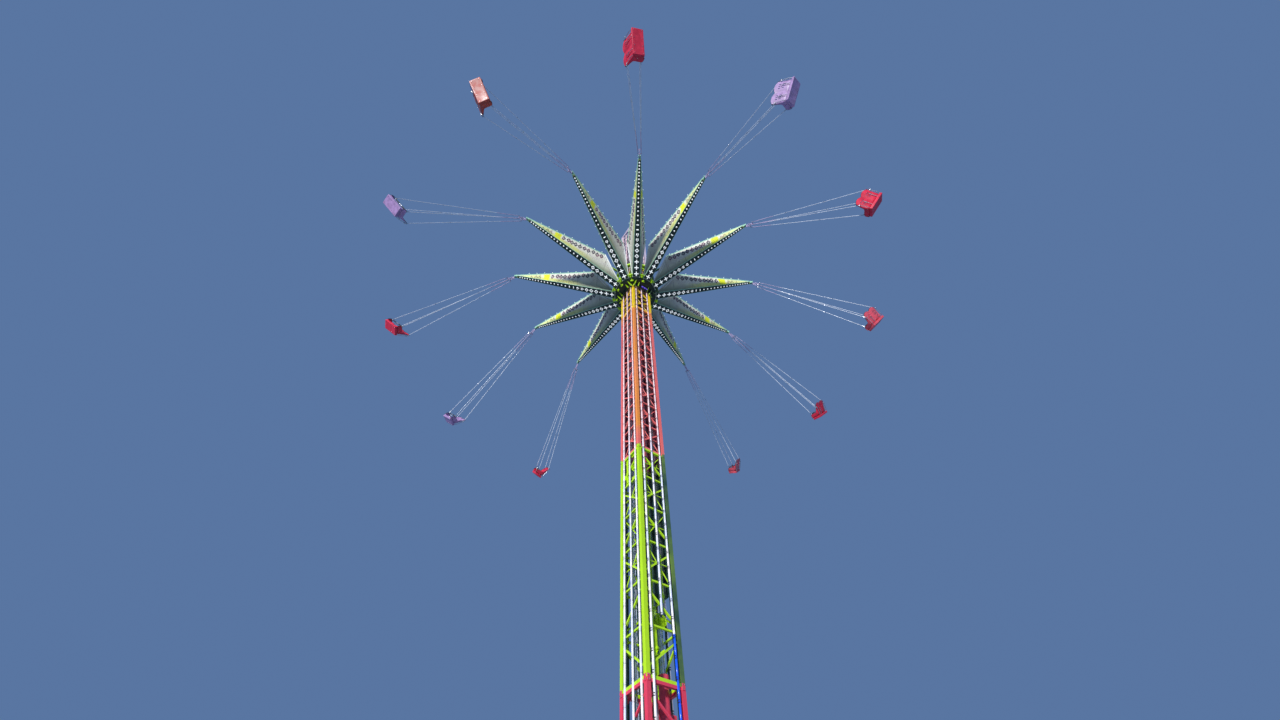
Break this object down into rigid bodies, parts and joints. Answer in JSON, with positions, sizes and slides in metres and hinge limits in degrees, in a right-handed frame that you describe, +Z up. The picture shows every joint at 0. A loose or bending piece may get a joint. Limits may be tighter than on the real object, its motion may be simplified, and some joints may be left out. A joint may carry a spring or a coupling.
{
  "type": "chair swing ride",
  "caption": "Lattice tower with a climbing carriage, a turning star of tapering arms, and two-seat chairs that swing outwards on ropes.",
  "frame": {"origin": "centre of the underside of the base plate, on the tower's axis, at ground level", "axes": "+Z up along the tower; -Y is the face of the tower nearer the picture's right; the first arm points 1.86 degrees from -Y"},
  "size_m": [25.5988, 25.5988, 37.0203],
  "materials": {
    "red_paint": "semi-gloss",
    "lime_paint": "semi-gloss",
    "dark_green_paint": "semi-gloss",
    "coral_paint": "semi-gloss",
    "yellow_paint": "semi-gloss",
    "arm_panel": "printed gloss panel",
    "galvanised_steel": "galvanised",
    "chrome_rod": "polished",
    "shell_red": "gloss gelcoat",
    "shell_pink": "gloss gelcoat",
    "shell_lavender": "gloss gelcoat",
    "shell_orange": "gloss gelcoat"
  },
  "bodies": {
    "root": {"base_plate": "red_paint", "red_module_face_1": "red_paint", "red_module_face_2": "red_paint", "red_module_face_3": "red_paint", "red_module_face_4": "red_paint", "lime_module_face_1": "lime_paint", "lime_module_face_2": "lime_paint", "lime_module_face_3": "lime_paint", "lime_module_face_4": "lime_paint", "coral_module_face_1": "coral_paint", "coral_module_face_2": "coral_paint", "coral_module_face_3": "coral_paint", "coral_module_face_4": "coral_paint", "yellow_module_face_1": "yellow_paint", "yellow_module_face_2": "yellow_paint", "yellow_module_face_3": "yellow_paint", "yellow_module_face_4": "yellow_paint", "tower_head": "yellow_paint", "ram_barrel": "red_paint"},
    "ram": {"ram_rod": "chrome_rod", "ram_block": "lime_paint"},
    "carriage": {"carriage_frame": "lime_paint"},
    "star": {"hub_lower_ring": "dark_green_paint", "hub_upper_ring": "lime_paint", "arm_01": "arm_panel", "arm_02": "arm_panel", "arm_03": "arm_panel", "arm_04": "arm_panel", "arm_05": "arm_panel", "arm_06": "arm_panel", "arm_07": "arm_panel", "arm_08": "arm_panel", "arm_09": "arm_panel", "arm_10": "arm_panel", "arm_11": "arm_panel", "arm_12": "arm_panel"},
    "swing_01": {"sling_01": "galvanised_steel", "chair_01": "shell_lavender"},
    "swing_02": {"sling_02": "galvanised_steel", "chair_02": "shell_red"},
    "swing_03": {"sling_03": "galvanised_steel", "chair_03": "shell_pink"},
    "swing_04": {"sling_04": "galvanised_steel", "chair_04": "shell_red"},
    "swing_05": {"sling_05": "galvanised_steel", "chair_05": "shell_pink"},
    "swing_06": {"sling_06": "galvanised_steel", "chair_06": "shell_lavender"},
    "swing_07": {"sling_07": "galvanised_steel", "chair_07": "shell_red"},
    "swing_08": {"sling_08": "galvanised_steel", "chair_08": "shell_lavender"},
    "swing_09": {"sling_09": "galvanised_steel", "chair_09": "shell_red"},
    "swing_10": {"sling_10": "galvanised_steel", "chair_10": "shell_lavender"},
    "swing_11": {"sling_11": "galvanised_steel", "chair_11": "shell_orange"},
    "swing_12": {"sling_12": "galvanised_steel", "chair_12": "shell_red"}
  },
  "joints": [
    {"name": "lift", "type": "slide", "parent": "root", "child": "carriage", "axis": [0, 0, 1], "range_m": [-21.8, 4.6]},
    {"name": "ram_slide", "type": "slide", "parent": "root", "child": "ram", "axis": [0, 0, 1], "range_m": [-1.15, 5.45]},
    {"name": "star_turn", "type": "hinge", "parent": "carriage", "child": "star", "pos_m": [0, 0, 29.8], "axis": [0, 0, 1], "continuous": true},
    {"name": "swing_01_hinge", "type": "hinge", "parent": "star", "child": "swing_01", "pos_m": [-0.2272, -6.99631, 29.8], "axis": [-0.9916, 0.1295, 0], "range_deg": [-45.84, 9]},
    {"name": "swing_02_hinge", "type": "hinge", "parent": "star", "child": "swing_02", "pos_m": [3.30139, -6.17258, 29.8], "axis": [-0.9235, -0.3837, 0], "range_deg": [-45.84, 9]},
    {"name": "swing_03_hinge", "type": "hinge", "parent": "star", "child": "swing_03", "pos_m": [5.94538, -3.69492, 29.8], "axis": [-0.6079, -0.794, 0], "range_deg": [-45.84, 9]},
    {"name": "swing_04_hinge", "type": "hinge", "parent": "star", "child": "swing_04", "pos_m": [6.99631, -0.2272, 29.8], "axis": [-0.1295, -0.9916, 0], "range_deg": [-45.84, 9]},
    {"name": "swing_05_hinge", "type": "hinge", "parent": "star", "child": "swing_05", "pos_m": [6.17258, 3.30139, 29.8], "axis": [0.3837, -0.9235, 0], "range_deg": [-45.84, 9]},
    {"name": "swing_06_hinge", "type": "hinge", "parent": "star", "child": "swing_06", "pos_m": [3.69492, 5.94538, 29.8], "axis": [0.794, -0.6079, 0], "range_deg": [-45.84, 9]},
    {"name": "swing_07_hinge", "type": "hinge", "parent": "star", "child": "swing_07", "pos_m": [0.2272, 6.99631, 29.8], "axis": [0.9916, -0.1295, 0], "range_deg": [-45.84, 9]},
    {"name": "swing_08_hinge", "type": "hinge", "parent": "star", "child": "swing_08", "pos_m": [-3.30139, 6.17258, 29.8], "axis": [0.9235, 0.3837, 0], "range_deg": [-45.84, 9]},
    {"name": "swing_09_hinge", "type": "hinge", "parent": "star", "child": "swing_09", "pos_m": [-5.94538, 3.69492, 29.8], "axis": [0.6079, 0.794, 0], "range_deg": [-45.84, 9]},
    {"name": "swing_10_hinge", "type": "hinge", "parent": "star", "child": "swing_10", "pos_m": [-6.99631, 0.2272, 29.8], "axis": [0.1295, 0.9916, 0], "range_deg": [-45.84, 9]},
    {"name": "swing_11_hinge", "type": "hinge", "parent": "star", "child": "swing_11", "pos_m": [-6.17258, -3.30139, 29.8], "axis": [-0.3837, 0.9235, 0], "range_deg": [-45.84, 9]},
    {"name": "swing_12_hinge", "type": "hinge", "parent": "star", "child": "swing_12", "pos_m": [-3.69492, -5.94538, 29.8], "axis": [-0.794, 0.6079, 0], "range_deg": [-45.84, 9]}
  ],
  "couplings": [
    {"joint": "ram_slide", "follows": "lift", "ratio": -0.25}
  ]
}
